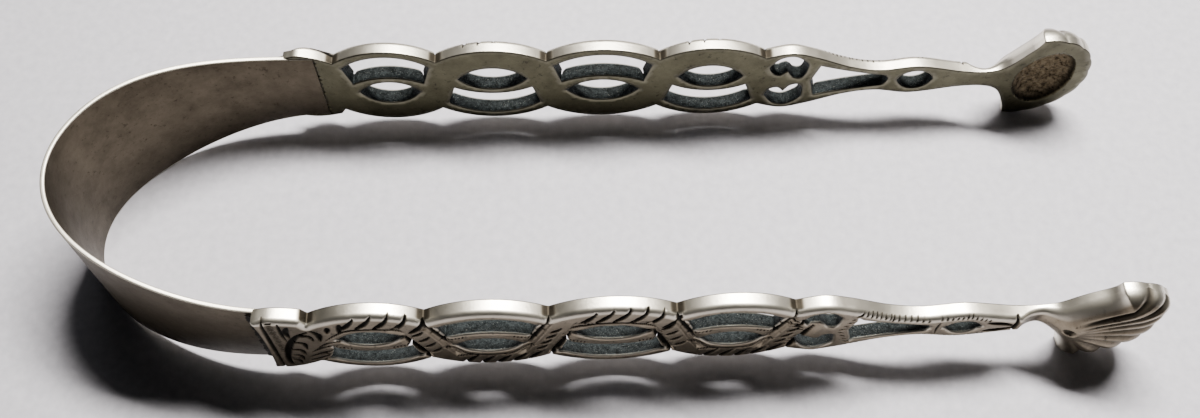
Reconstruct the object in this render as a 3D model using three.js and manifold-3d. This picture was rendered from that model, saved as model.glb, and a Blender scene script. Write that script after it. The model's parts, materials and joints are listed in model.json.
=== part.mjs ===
// Sugar or ice tongs in silver: a plain bow of sheet with two pierced cast arms soldered to its ends.
// Each arm ends in a scallop-shell grip. Millimetres, +Z up. The tongs lie on edge on a table at z = 0:
// +X runs from the crown of the bow to the shells, and +Y is the left arm's side.
// The origin is under the middle of the bounding box. Inside, the tongs are built level, on axes of
// their own: x from the first notch of the arms towards the shells, z from the middle of their height.
import * as THREE from "three";
import { mergeVertices } from "three/addons/utils/BufferGeometryUtils.js";
import Module from "manifold-3d";

// ---- Bow: a strip bent to half an ellipse, widest at the crown ----
const BOW_THICKNESS = 0.75;
const BOW_DEPTH = 29; // from the crown's outer face to the end of the curve
const BOW_HALF_SPAN = 17.6; // from the middle plane to the strip's inner face at the end of the curve
const BOW_CROWN_WIDTH = 20.5;
const BOW_END_WIDTH = 13.6;
const BOW_LEVEL_EDGE = 1.2; // how far from the crown the strip keeps its full width
const BOW_STRAIGHT = 0.6; // straight run between the curve and the strip's end
const FLEXURE_ANGLE = 47; // degrees round the ellipse from the crown, where each half bends
const FLEXURE_SLIT = 0.3; // gap that stands for the bending line
const BOW_STEPS = 44; // facets round the whole curve

// ---- Lap joint: the strip's end lies in a rebate under the arm's root ----
const LAP_LENGTH = 3.85;
const SOLDER_THICKNESS = 0.15;
const SOLDER_CLEARANCE = 0.1; // on each face of the solder
const SOLDER_BEAD = 0.5; // bead along the root's edge
const SOLDER_INSET = 0.5; // solder stops short of each edge of the strip

// ---- Arm: s runs along it from the first notch, v across it, n outwards from its inner face ----
const ARM_THICKNESS = 1.75;
const TOE_IN = 0.3; // degrees that each arm leans towards the other
const ROOT_LENGTH = 6.15; // from the root's end to the first notch
const ROOT_HALF_WIDTH = 7.2;
const NOTCH_HALF_WIDTH = 5.35;
const LOBE_HALF_WIDTH = 7.7;
const LOBE_LENGTHS = [13.5, 14.55, 15.1, 14.05];

// Piercings of a lobe: a lens in the middle, and a slot along the double ribbon's side.
const PLAIN_RIBBON = 3.9; // ribbon on the other side, at the middle of the lobe
const OUTER_RAIL = 1.2; // double ribbon's outer rail
const INNER_RAIL = 1.05; // double ribbon's inner rail
const RAIL_HEIGHT = 1.95; // inner rail's outer edge from the middle line, at the middle of the lobe
const RAIL_RISE = 1.4; // how far that edge rises over the length of the slot
const SLOT_OUTER_INSET = 0.95; // from the notch to the slot's outer corner
const SLOT_INNER_INSET = 2; // from the notch to the slot's inner corner
const LENS_INSET = 2.6; // from the notch to the lens's point
const LENS_POINT = 1.35; // lens's points from the middle line, on the plain ribbon's side

// Heart with two kidney openings, then a taper, a leaf and a stem.
const HEART_BULGE_AT = 3.4;
const HEART_HALF_WIDTH = 6.3;
const HEART_LENGTH = 6.75;
const HEART_END_HALF_WIDTH = 5.35;
const HEART_RAIL = 0.8;
const HEART_WEB = 0.7; // half width of the web between the kidneys
const TAPER_LENGTH = 9.35;
const TAPER_HALF_WIDTH = 2.35; // at the waist between the taper and the leaf
const TAPER_RAIL = 1.15;
const TAPER_WALL = 0.9; // between the heart's back and the long opening
const OPENING_PAST_WAIST = 1.2;
const LEAF_BRIDGE = 1.3; // solid between the long opening and the leaf's opening
const LEAF_LENGTH = 4.9;
const LEAF_HALF_WIDTH = 1.95;
const LEAF_RAIL = 1.1;
const STEM_LENGTH = 7.3; // from the leaf's opening to the stem's waist
const STEM_HALF_WIDTH = 1.65;
const NECK_LENGTH = 5.5; // from the stem's waist to the shell's centre
const SCOOP_RADIUS = 4; // hollow across the outer face at the stem's waist
const SCOOP_DEPTH = 0.7;

// Shell grip: a scalloped fan with a fluted, domed back and a shallow dish in its flat face.
const SHELL_RADIUS = 8.3;
const SHELL_CORNER_ANGLE = 95; // degrees from the arm's line to the fan's corners
const SHOULDER_RUN = 2.4; // from the fan's corners back to the foot of its shoulders
const SHOULDER_FOOT = 2.8; // half width at the foot of the shoulders
const SCALLOPS = 9;
const SCALLOP_RISE = 0.2;
const SHELL_DEPTH = 3.7; // flat face to the top of the back
const RIM_THICKNESS = 1.4; // at a radius one RIM_MARGIN outside the fan
const RIM_MARGIN = 1;
const UMBO_BACK = 2.9; // from the shell's centre back to the point where its flutes meet
const FLUTE_START = 2.2; // from that point to the near end of a flute
const FLUTE_HALF_WIDTH = 0.85;
const FLUTE_DEPTH = 0.55; // at the fan's edge, fading to nothing at the near end
const DISH_CENTRE = 2.4; // ahead of the shell's centre
const DISH_HALF_LENGTH = 3.9;
const DISH_HALF_WIDTH = 5.6;
const DISH_DEPTH = 1.9;

const ARC_STEPS = 5; // divisions of each arc or spline stretch in an outline

const silver = (name, color, roughness) =>
  new THREE.MeshStandardMaterial({ name, color, roughness, metalness: 1 });
const SHEET_SILVER = silver("sheet silver", 0xb9b3a6, 0.32);
const CAST_SILVER = silver("cast silver", 0xa9a294, 0.38);
const HARD_SOLDER = silver("hard solder", 0x5b564c, 0.6);

// ---- Solids ----
const wasm = await Module();
wasm.setup();
const rad = THREE.MathUtils.degToRad;

/** A closed three.js geometry as a manifold-3d solid. */
function solidOf(geometry) {
  const bare = geometry.clone();
  bare.deleteAttribute("normal");
  bare.deleteAttribute("uv");
  const merged = mergeVertices(bare, 1e-4);
  return new wasm.Manifold(
    new wasm.Mesh({
      numProp: 3,
      vertProperties: merged.attributes.position.array,
      triVerts: new Uint32Array(merged.index.array),
    }),
  );
}

/** A manifold-3d solid as a three.js geometry. */
function geometryOf(solid) {
  const mesh = solid.getMesh();
  const geometry = new THREE.BufferGeometry();
  geometry.setAttribute("position", new THREE.BufferAttribute(mesh.vertProperties, 3));
  geometry.setIndex(new THREE.BufferAttribute(mesh.triVerts, 1));
  geometry.computeVertexNormals();
  return geometry;
}

/** A path's points, each once, anticlockwise. */
function distinctPoints(path) {
  const points = path.getPoints(ARC_STEPS);
  const near = (a, b) => a.distanceTo(b) < 0.01;
  const distinct = points.filter((point, i) => !near(point, points[(i + 1) % points.length]));
  return THREE.ShapeUtils.isClockWise(distinct) ? distinct.reverse() : distinct;
}

/** An outline pushed along its normal, from 0 to depth. */
function plate(shape, depth) {
  const outline = new THREE.Shape(distinctPoints(shape));
  outline.holes = shape.holes.map((hole) => new THREE.Path(distinctPoints(hole)));
  return new THREE.ExtrudeGeometry(outline, { depth, bevelEnabled: false });
}

/** A section in x and z pushed across y, from -width / 2 to width / 2. */
function crossPlate(section, width) {
  return plate(section, width)
    .rotateX(Math.PI / 2)
    .translate(0, width / 2, 0);
}

/** Adds to a path the circular arc from start through middle to end. */
function arcThrough(path, start, middle, end) {
  const [ax, ay] = start;
  const [bx, by] = middle;
  const [cx, cy] = end;
  const d = 2 * (ax * (by - cy) + bx * (cy - ay) + cx * (ay - by));
  const a2 = ax * ax + ay * ay;
  const b2 = bx * bx + by * by;
  const c2 = cx * cx + cy * cy;
  const ox = (a2 * (by - cy) + b2 * (cy - ay) + c2 * (ay - by)) / d;
  const oy = (a2 * (cx - bx) + b2 * (ax - cx) + c2 * (bx - ax)) / d;
  const from = Math.atan2(ay - oy, ax - ox);
  const to = Math.atan2(cy - oy, cx - ox);
  path.absarc(ox, oy, Math.hypot(ax - ox, ay - oy), from, to, d < 0);
}

// ---- Places along the arm ----
const notches = LOBE_LENGTHS.reduce((at, length) => [...at, at.at(-1) + length], [0]);
const heartStart = notches.at(-1);
const heartEnd = heartStart + HEART_LENGTH;
const waist = heartEnd + TAPER_LENGTH;
const openingEnd = waist + OPENING_PAST_WAIST;
const leafStart = openingEnd + LEAF_BRIDGE;
const leafEnd = leafStart + LEAF_LENGTH;
const stemWaist = leafEnd + STEM_LENGTH;
const shellCentre = stemWaist + NECK_LENGTH;
const umbo = shellCentre - UMBO_BACK;

/** A point of the shell's fan, by its angle from the arm's line and its distance from the centre. */
const fanPoint = (degrees, reach) => [
  shellCentre + reach * Math.cos(rad(degrees)),
  reach * Math.sin(rad(degrees)),
];
/** The same by the share of the way round the fan, from its upper corner to its lower corner. */
const rimPoint = (share, rise) => fanPoint(SHELL_CORNER_ANGLE * (1 - 2 * share), SHELL_RADIUS + rise);
const corner = rimPoint(0, 0);
const shoulderFoot = [corner[0] - SHOULDER_RUN, SHOULDER_FOOT];

/** The arm's upper edge from the heart's bulge to the shell's corner. */
const upperEdge = [
  [heartStart + HEART_BULGE_AT, HEART_HALF_WIDTH],
  [heartEnd, HEART_END_HALF_WIDTH],
  [heartEnd + 0.55 * TAPER_LENGTH, 0.25 * HEART_END_HALF_WIDTH + 0.75 * TAPER_HALF_WIDTH],
  [waist, TAPER_HALF_WIDTH],
  [(leafStart + leafEnd) / 2, LEAF_HALF_WIDTH + LEAF_RAIL],
  [leafEnd + 0.5 * STEM_LENGTH, STEM_HALF_WIDTH + 0.15 * LEAF_RAIL],
  [stemWaist, STEM_HALF_WIDTH],
  shoulderFoot,
  [corner[0] - 0.28 * SHOULDER_RUN, 0.4 * SHOULDER_FOOT + 0.6 * corner[1]],
  corner,
];

/** Adds the fan's edge to a path: equal scallops from the upper corner round the tip to the lower. */
function scallopEdge(path) {
  for (let i = 0; i < SCALLOPS; i++) {
    const middle = rimPoint((i + 0.5) / SCALLOPS, SCALLOP_RISE);
    arcThrough(path, rimPoint(i / SCALLOPS, 0), middle, rimPoint((i + 1) / SCALLOPS, 0));
  }
}

/** The arm's whole outline: root, lobes, heart, taper, leaf, stem and shell. */
function armOutline() {
  const shape = new THREE.Shape();
  const addLobe = (from, to, side) => {
    const top = [(from + to) / 2, side * LOBE_HALF_WIDTH];
    arcThrough(shape, [from, side * NOTCH_HALF_WIDTH], top, [to, side * NOTCH_HALF_WIDTH]);
  };
  const vectors = (points, side) => points.map(([s, v]) => new THREE.Vector2(s, side * v));
  shape.moveTo(-ROOT_LENGTH, -ROOT_HALF_WIDTH);
  shape.lineTo(-ROOT_LENGTH, ROOT_HALF_WIDTH);
  shape.lineTo(0, NOTCH_HALF_WIDTH);
  for (let i = 0; i < LOBE_LENGTHS.length; i++) addLobe(notches[i], notches[i + 1], 1);
  shape.splineThru(vectors(upperEdge, 1));
  scallopEdge(shape);
  shape.splineThru(vectors(upperEdge.slice(0, -1).reverse(), -1));
  shape.lineTo(heartStart, -NOTCH_HALF_WIDTH);
  for (let i = LOBE_LENGTHS.length; i > 0; i--) addLobe(notches[i], notches[i - 1], -1);
  shape.closePath();
  return shape;
}

/** The slot and the lens of a lobe. side is +1 where the double ribbon runs at +v. */
function lobePiercings(from, to, side) {
  const middle = (from + to) / 2;
  const point = (s, v) => [s, side * v];
  const outerLeft = point(from + SLOT_OUTER_INSET, NOTCH_HALF_WIDTH - OUTER_RAIL);
  const outerRight = point(to - SLOT_OUTER_INSET, NOTCH_HALF_WIDTH - OUTER_RAIL);
  const innerLeft = point(from + SLOT_INNER_INSET, RAIL_HEIGHT - RAIL_RISE);
  const innerRight = point(to - SLOT_INNER_INSET, RAIL_HEIGHT - RAIL_RISE);
  const slot = new THREE.Path();
  slot.moveTo(...outerLeft);
  arcThrough(slot, outerLeft, point(middle, LOBE_HALF_WIDTH - OUTER_RAIL), outerRight);
  slot.lineTo(...innerRight);
  arcThrough(slot, innerRight, point(middle, RAIL_HEIGHT), innerLeft);
  slot.closePath();
  const left = point(from + LENS_INSET, -LENS_POINT);
  const right = point(to - LENS_INSET, -LENS_POINT);
  const lens = new THREE.Path();
  lens.moveTo(...left);
  arcThrough(lens, left, point(middle, RAIL_HEIGHT - INNER_RAIL), right);
  arcThrough(lens, right, point(middle, PLAIN_RIBBON - LOBE_HALF_WIDTH), left);
  return [slot, lens];
}

/** One of the heart's two kidney openings, with its hollow side towards the middle line. */
function kidney(side) {
  const point = (s, v) => new THREE.Vector2(heartStart + s, side * v);
  const outer = HEART_HALF_WIDTH - HEART_RAIL;
  const far = HEART_LENGTH - HEART_RAIL;
  const path = new THREE.Path();
  const start = point(HEART_RAIL, 0.62 * outer);
  path.moveTo(start.x, start.y);
  path.splineThru([
    point(0.6 * HEART_BULGE_AT, 0.94 * outer),
    point(1.15 * HEART_BULGE_AT, outer),
    point(far, 0.62 * outer),
    point(0.87 * far, HEART_WEB + 0.1),
    point(1.26 * HEART_BULGE_AT, HEART_WEB + 0.6),
    point(0.97 * HEART_BULGE_AT, HEART_WEB + 1.75),
    point(0.55 * HEART_BULGE_AT, HEART_WEB + 0.9),
    start,
  ]);
  return path;
}

/** The long opening through the taper, narrowing to a round end past the waist. */
function longOpening() {
  const start = heartEnd + TAPER_WALL;
  const halfStart = HEART_END_HALF_WIDTH - 1.7 * TAPER_RAIL;
  const halfEnd = TAPER_HALF_WIDTH - TAPER_RAIL;
  const halfMiddle = 0.25 * halfStart + 0.75 * halfEnd;
  const middle = (start + openingEnd) / 2;
  const turn = openingEnd - halfEnd;
  const path = new THREE.Path();
  path.moveTo(heartEnd, 0);
  path.lineTo(start, halfStart);
  path.quadraticCurveTo(middle, halfMiddle, turn, halfEnd);
  arcThrough(path, [turn, halfEnd], [openingEnd, 0], [turn, -halfEnd]);
  path.quadraticCurveTo(middle, -halfMiddle, start, -halfStart);
  path.closePath();
  return path;
}

/** The leaf-shaped opening, pointed at both ends. */
function leafOpening() {
  const middle = (leafStart + leafEnd) / 2;
  const path = new THREE.Path();
  path.moveTo(leafStart, 0);
  arcThrough(path, [leafStart, 0], [middle, LEAF_HALF_WIDTH], [leafEnd, 0]);
  arcThrough(path, [leafEnd, 0], [middle, -LEAF_HALF_WIDTH], [leafStart, 0]);
  return path;
}

/** The shell's domed back, cut to the fan's outline. */
function shellBack() {
  const reach = SHELL_RADIUS + RIM_MARGIN;
  const steps = 8;
  const dome = [new THREE.Vector2(0, 0), new THREE.Vector2(reach, 0)];
  for (let i = 0; i < steps; i++) {
    const angle = (i / steps) * (Math.PI / 2);
    const height = RIM_THICKNESS + (SHELL_DEPTH - RIM_THICKNESS) * Math.sin(angle);
    dome.push(new THREE.Vector2(reach * Math.cos(angle), height));
  }
  dome.push(new THREE.Vector2(0, SHELL_DEPTH));
  const round = new THREE.LatheGeometry(dome, 32).rotateX(Math.PI / 2).translate(shellCentre, 0, 0);
  const fan = new THREE.Shape();
  fan.moveTo(shoulderFoot[0], -shoulderFoot[1]);
  fan.lineTo(...shoulderFoot);
  fan.lineTo(...corner);
  scallopEdge(fan);
  fan.closePath();
  return solidOf(round).intersect(solidOf(plate(fan, SHELL_DEPTH + 1)));
}

/** A wedge that cuts one flute of the shell's back, from near the umbo to a valley of the edge. */
function fluteCutter(valley) {
  const along = Math.hypot(valley[0] - umbo, valley[1]);
  const spread = FLUTE_HALF_WIDTH / FLUTE_DEPTH;
  const above = FLUTE_DEPTH + 1;
  const wedge = new THREE.Shape();
  wedge.moveTo(0, 0);
  wedge.lineTo(above * spread, above);
  wedge.lineTo(-above * spread, above);
  wedge.closePath();
  const domeHeight = (radius) => {
    const share = Math.min(1, radius / (SHELL_RADIUS + RIM_MARGIN));
    return RIM_THICKNESS + (SHELL_DEPTH - RIM_THICKNESS) * Math.sqrt(1 - share * share);
  };
  const nearRadius = Math.abs(FLUTE_START - UMBO_BACK);
  const fall = Math.atan2(domeHeight(nearRadius) - domeHeight(SHELL_RADIUS) + FLUTE_DEPTH, along - FLUTE_START);
  const cutter = plate(wedge, along - FLUTE_START + RIM_MARGIN)
    .rotateX(Math.PI / 2)
    .rotateZ(Math.PI / 2)
    .rotateY(fall)
    .translate(FLUTE_START, 0, domeHeight(nearRadius))
    .rotateZ(Math.atan2(valley[1], valley[0] - umbo))
    .translate(umbo, 0, 0);
  return solidOf(cutter);
}

/** One cast arm with its shell, in s, v, n. Both arms are this same casting. */
function castArm() {
  const outline = armOutline();
  for (let i = 0; i < LOBE_LENGTHS.length; i++)
    outline.holes.push(...lobePiercings(notches[i], notches[i + 1], i % 2 ? 1 : -1));
  outline.holes.push(kidney(1), kidney(-1), longOpening(), leafOpening());
  let arm = solidOf(plate(outline, ARM_THICKNESS));
  const scoop = new THREE.CylinderGeometry(SCOOP_RADIUS, SCOOP_RADIUS, 3 * STEM_HALF_WIDTH, 48)
    .translate(stemWaist, 0, ARM_THICKNESS - SCOOP_DEPTH + SCOOP_RADIUS);
  arm = arm.subtract(solidOf(scoop)).add(shellBack());
  for (let i = 1; i < SCALLOPS; i++) arm = arm.subtract(fluteCutter(rimPoint(i / SCALLOPS, 0)));
  const dish = new THREE.SphereGeometry(1, 28, 16)
    .scale(DISH_HALF_LENGTH, DISH_HALF_WIDTH, DISH_DEPTH)
    .translate(shellCentre + DISH_CENTRE, 0, 0);
  const rebateDepth = BOW_THICKNESS + SOLDER_THICKNESS + 2 * SOLDER_CLEARANCE;
  const over = 1; // how far the rebate's cutter stands out of the arm
  const rebate = new THREE.BoxGeometry(LAP_LENGTH + over, 2 * ROOT_HALF_WIDTH + over, rebateDepth + over)
    .translate(-ROOT_LENGTH + (LAP_LENGTH - over) / 2, 0, (rebateDepth - over) / 2);
  return geometryOf(arm.subtract(solidOf(dish)).subtract(solidOf(rebate)));
}

/** Solder of the lap joint: a layer on the strip, down its end, and a bead along the arm's root. */
function solderSeam() {
  const stripEnd = -ROOT_LENGTH + LAP_LENGTH - SOLDER_CLEARANCE;
  const root = -ROOT_LENGTH - SOLDER_CLEARANCE;
  const low = BOW_THICKNESS + SOLDER_CLEARANCE;
  const high = low + SOLDER_THICKNESS;
  const section = new THREE.Shape();
  section.moveTo(stripEnd, 0);
  section.lineTo(stripEnd, high);
  section.lineTo(root, high);
  section.lineTo(root, high + SOLDER_BEAD);
  section.lineTo(root - SOLDER_BEAD, low);
  section.lineTo(stripEnd - SOLDER_THICKNESS, low);
  section.lineTo(stripEnd - SOLDER_THICKNESS, 0);
  section.closePath();
  return crossPlate(section, BOW_END_WIDTH - 2 * SOLDER_INSET);
}

// ---- Bow ----
const stripEndX = -ROOT_LENGTH + LAP_LENGTH - SOLDER_THICKNESS - 2 * SOLDER_CLEARANCE;
const curveEndX = stripEndX - BOW_STRAIGHT;
const crownX = curveEndX - BOW_DEPTH;

/** A point at an angle round the bow from the crown, offset outwards from the strip's middle. */
function bowPoint(angle, offset) {
  const deep = BOW_DEPTH - BOW_THICKNESS / 2;
  const half = BOW_HALF_SPAN + BOW_THICKNESS / 2;
  const point = new THREE.Vector2(curveEndX - deep * Math.cos(angle), half * Math.sin(angle));
  const outward = new THREE.Vector2(-half * Math.cos(angle), deep * Math.sin(angle)).normalize();
  return point.addScaledVector(outward, offset);
}

/** The bow seen from the side: level at the crown, then drawn in to the width of the arms' roots. */
function bowSideView() {
  const crown = BOW_CROWN_WIDTH / 2;
  const end = BOW_END_WIDTH / 2;
  const before = crownX - 1;
  const after = stripEndX + 1;
  const levelEnd = crownX + BOW_LEVEL_EDGE;
  const leave = levelEnd + 0.4 * BOW_DEPTH;
  const arrive = curveEndX - 0.3 * BOW_DEPTH;
  const seen = new THREE.Shape();
  seen.moveTo(before, -crown);
  seen.lineTo(levelEnd, -crown);
  seen.bezierCurveTo(leave, -crown, arrive, -end, curveEndX, -end);
  seen.lineTo(after, -end);
  seen.lineTo(after, end);
  seen.lineTo(curveEndX, end);
  seen.bezierCurveTo(arrive, end, leave, crown, levelEnd, crown);
  seen.lineTo(before, crown);
  seen.closePath();
  return seen;
}

/** The strip between two angles, cut to the width that the bow has there, with a straight end run. */
function bowStrip(from, to, endRun) {
  const steps = Math.round((BOW_STEPS * (to - from)) / Math.PI);
  const face = (offset) => {
    const points = Array.from({ length: steps + 1 }, (_, i) =>
      bowPoint(from + ((to - from) * i) / steps, offset),
    );
    const end = points.at(-1).clone().setX(points.at(-1).x + endRun);
    return endRun ? [...points, end] : points;
  };
  const plan = new THREE.Shape([...face(BOW_THICKNESS / 2), ...face(-BOW_THICKNESS / 2).reverse()]);
  const strip = plate(plan, BOW_CROWN_WIDTH).translate(0, 0, -BOW_CROWN_WIDTH / 2);
  const width = crossPlate(bowSideView(), 2 * BOW_HALF_SPAN + 4 * BOW_THICKNESS);
  return geometryOf(solidOf(strip).intersect(solidOf(width)));
}

// ---- Assembly ----
const tongs = new THREE.Group();
const level = new THREE.Group(); // holds everything on the tongs' own axes
tongs.add(level);

function addMesh(parent, name, geometry, material) {
  const mesh = new THREE.Mesh(geometry, material);
  mesh.name = name;
  parent.add(mesh);
  return mesh;
}

const flexure = rad(FLEXURE_ANGLE);
const flexurePoint = bowPoint(flexure, 0);
const halfSlit = FLEXURE_SLIT / 2 / flexurePoint.distanceTo(bowPoint(flexure + 0.01, 0)) / 100;
addMesh(level, "bow_crown", bowStrip(-flexure + halfSlit, flexure - halfSlit, 0), SHEET_SILVER);

const shoulderStrip = bowStrip(flexure + halfSlit, Math.PI / 2, BOW_STRAIGHT);
const armShape = castArm();
const solderShape = solderSeam();
for (const [hand, turn] of [["left", 0], ["right", Math.PI]]) {
  const half = new THREE.Group(); // the right half is the left one turned over about the long axis
  half.rotation.x = turn;
  level.add(half);
  const hinge = new THREE.Group(); // its Z axis is the line that this half bends about
  hinge.name = `flexure_${hand}`;
  hinge.position.set(flexurePoint.x, flexurePoint.y, 0);
  half.add(hinge);
  const shoulder = addMesh(hinge, `bow_shoulder_${hand}`, shoulderStrip, SHEET_SILVER);
  shoulder.position.set(-flexurePoint.x, -flexurePoint.y, 0);
  const arm = new THREE.Group();
  arm.position.set(-flexurePoint.x, BOW_HALF_SPAN - flexurePoint.y, 0);
  arm.rotation.z = -rad(TOE_IN);
  hinge.add(arm);
  addMesh(arm, `cast_arm_${hand}`, armShape, CAST_SILVER).rotation.x = -Math.PI / 2;
  addMesh(arm, `solder_seam_${hand}`, solderShape, HARD_SOLDER).rotation.x = -Math.PI / 2;
}

// The crown is wider than the shells, so the tongs lie a little nose down, on crown and shells.
armShape.computeBoundingBox();
const drop = BOW_CROWN_WIDTH / 2 - armShape.boundingBox.max.y;
level.rotation.y = Math.asin(drop / (shellCentre - crownX - BOW_LEVEL_EDGE));
const box = new THREE.Box3().setFromObject(level, true);
level.position.set(-(box.min.x + box.max.x) / 2, 0, -box.min.z);

export default tongs;
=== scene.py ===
"""Silver bow tongs: the looks of the sheet bow, the two pierced cast arms and their shell grips.

Shapes are made in millimetres on the tongs' own level axes: x from the first notch of the arms to the
shells, y to the left arm, z up from the middle of the bow's width. An arm is made flat, in s along it,
v across it and n outwards from its inner face, and both arms are that one casting.
"""
import json
import math

import bmesh
import bpy
import numpy as np
from mathutils import Matrix, Vector, geometry, kdtree


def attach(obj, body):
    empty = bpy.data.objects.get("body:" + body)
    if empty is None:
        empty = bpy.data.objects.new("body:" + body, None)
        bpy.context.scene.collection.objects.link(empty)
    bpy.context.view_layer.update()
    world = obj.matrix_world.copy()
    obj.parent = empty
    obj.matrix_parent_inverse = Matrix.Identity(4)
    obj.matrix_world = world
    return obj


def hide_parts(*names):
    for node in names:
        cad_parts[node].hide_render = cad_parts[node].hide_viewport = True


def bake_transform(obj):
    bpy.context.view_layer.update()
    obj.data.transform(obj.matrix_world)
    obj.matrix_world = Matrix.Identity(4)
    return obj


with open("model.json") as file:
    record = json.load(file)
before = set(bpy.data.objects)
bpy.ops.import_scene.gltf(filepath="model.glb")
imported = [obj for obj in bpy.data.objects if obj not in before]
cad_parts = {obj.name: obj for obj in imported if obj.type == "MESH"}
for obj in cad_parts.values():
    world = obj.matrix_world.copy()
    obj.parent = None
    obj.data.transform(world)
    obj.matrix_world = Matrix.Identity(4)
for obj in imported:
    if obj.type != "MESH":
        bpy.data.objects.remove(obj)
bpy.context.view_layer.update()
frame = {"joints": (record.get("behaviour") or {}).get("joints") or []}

MM = 0.001

# ---- Sizes shared with the CAD parts, in mm ----
BOW_THICKNESS = 0.75
BOW_DEPTH = 29
BOW_HALF_SPAN = 17.6
BOW_CROWN_WIDTH = 20.5
BOW_END_WIDTH = 13.6
BOW_LEVEL_EDGE = 1.2
BOW_STRAIGHT = 0.6
FLEXURE_ANGLE = math.radians(47)
LAP_LENGTH = 3.85
ROOT_LENGTH = 6.15
ROOT_HALF_WIDTH = 7.2
TOE_IN = math.radians(0.3)
NOTCH_HALF_WIDTH = 5.35
LOBE_HALF_WIDTH = 7.7
LOBE_LENGTHS = (13.5, 14.55, 15.1, 14.05)
PLAIN_RIBBON = 3.9
OUTER_RAIL = 1.2
INNER_RAIL = 1.05
RAIL_HEIGHT = 1.95
RAIL_RISE = 1.4
SLOT_OUTER_INSET = 0.95
SLOT_INNER_INSET = 2
LENS_INSET = 2.6
LENS_POINT = 1.35
HEART_BULGE_AT = 3.4
HEART_HALF_WIDTH = 6.3
HEART_LENGTH = 6.75
HEART_END_HALF_WIDTH = 5.35
HEART_RAIL = 0.8
HEART_WEB = 0.7
TAPER_LENGTH = 9.35
TAPER_HALF_WIDTH = 2.35
TAPER_RAIL = 1.15
TAPER_WALL = 0.9
OPENING_PAST_WAIST = 1.2
LEAF_BRIDGE = 1.3
LEAF_LENGTH = 4.9
LEAF_HALF_WIDTH = 1.95
LEAF_RAIL = 1.1
STEM_LENGTH = 7.3
STEM_HALF_WIDTH = 1.65
NECK_LENGTH = 5.5
SHELL_RADIUS = 8.3
SHELL_CORNER_ANGLE = math.radians(95)
SHOULDER_RUN = 2.4
SHOULDER_FOOT = 2.8
SCALLOPS = 9
UMBO_BACK = 2.9
DISH_CENTRE = 2.4
DISH_HALF_LENGTH = 3.9
DISH_HALF_WIDTH = 5.6
DISH_DEPTH = 1.9
LAP_CLEARANCE = 0.35  # the CAD strip ends this far before the rebate's edge

# ---- Sizes in mm that are finer here than in the CAD parts ----
SHEET_THICKNESS = 0.6
REBATE_DEPTH = 0.63  # the bow's end sinks this far into the arm's inner face
REBATE_HALF_WIDTH = 6.55
LAP_JOINT = 0.03  # solder line between the bow's end and the arm
ARM_THICKNESS = 2.1  # to the crests of the relief
NECK_THICKNESS = 1.05
OPENING_DRAFT = 0.32  # an opening is this much tighter on the outer face
SCALLOP_RISE = 0.14
SHELL_DEPTH = 3.65
RIM_THICKNESS = 0.95  # at the shell's corners
TIP_THICKNESS = 1.6  # at the middle of the shell's rim
SHELL_SWELL = 3.3  # how far in from its edge the shell's back reaches its full depth

SIDES = (("left", 1), ("right", -1))  # each arm's name and its side of the long axis

NOTCHES = [0, *np.cumsum(LOBE_LENGTHS)]
HEART_START = NOTCHES[-1]
HEART_END = HEART_START + HEART_LENGTH
WAIST = HEART_END + TAPER_LENGTH
OPENING_END = WAIST + OPENING_PAST_WAIST
LEAF_START = OPENING_END + LEAF_BRIDGE
LEAF_END = LEAF_START + LEAF_LENGTH
STEM_WAIST = LEAF_END + STEM_LENGTH
SHELL_CENTRE = STEM_WAIST + NECK_LENGTH
UMBO = SHELL_CENTRE - UMBO_BACK
REBATE_END = -ROOT_LENGTH + LAP_LENGTH
CURVE_END = REBATE_END - LAP_CLEARANCE - BOW_STRAIGHT


def smooth(t):
    """0 to 1 with level ends."""
    t = np.clip(t, 0, 1)
    return t * t * (3 - 2 * t)


# ---- The tongs' own axes in the frame ----
def bow_point(angle):
    """x and y of the middle of the bow's sheet, at an angle round the bow from its crown."""
    deep = BOW_DEPTH - BOW_THICKNESS / 2
    half = BOW_HALF_SPAN + BOW_THICKNESS / 2
    return CURVE_END - deep * math.cos(angle), half * math.sin(angle)


def own_axes():
    """Matrix from the tongs' own axes in mm to the frame in metres, from the right flexure's joint."""
    joint = next(j for j in frame["joints"] if j["name"] == "right_flexure")
    up = Vector(joint["axis"]).normalized()
    across = Vector((0, 1, 0))
    turn = Matrix((across.cross(up), across, up)).transposed()
    x, y = bow_point(FLEXURE_ANGLE)
    place = Vector(joint["pos_m"]) - turn @ Vector((x, -y, 0)) * MM
    return Matrix.Translation(place) @ turn.to_4x4() @ Matrix.Scale(MM, 4)


OWN = own_axes()
OWN_ARRAY = np.array(OWN)


def to_frame(points):
    """Points on the tongs' own axes as frame coordinates."""
    return np.asarray(points) @ OWN_ARRAY[:3, :3].T + OWN_ARRAY[:3, 3]


SHELL_LEAN = {1: (0.7, 0), -1: (2.7, 0.7)}  # how far each shell's upper corner is bent forwards and down
ROOT_FILED = {1: 0.55, -1: 0}  # share of each root's outer side that is filed away at its end
FILED_LENGTH = 3.4
FILED_LEVEL = 0.75  # the filing leaves what is nearer to the inner face than this


def arm_to_own(points, side):
    """Points in s, v, n as points on the tongs' own axes. side is +1 for the left arm."""
    s, v, n = np.asarray(points).T
    forwards, down = SHELL_LEAN[side]
    bent = smooth((-side * v - 1) / 7) * smooth((s - STEM_WAIST - 2) / 3)
    s = s + forwards * bent
    v = v + side * down * bent
    filed = ROOT_FILED[side] * (1 - smooth((s + ROOT_LENGTH) / FILED_LENGTH))
    n = n - filed * np.maximum(0, n - FILED_LEVEL)
    x = s * math.cos(TOE_IN) + n * math.sin(TOE_IN)
    y = BOW_HALF_SPAN - s * math.sin(TOE_IN) + n * math.cos(TOE_IN)
    return np.column_stack([x, side * y, -side * v])


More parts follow.
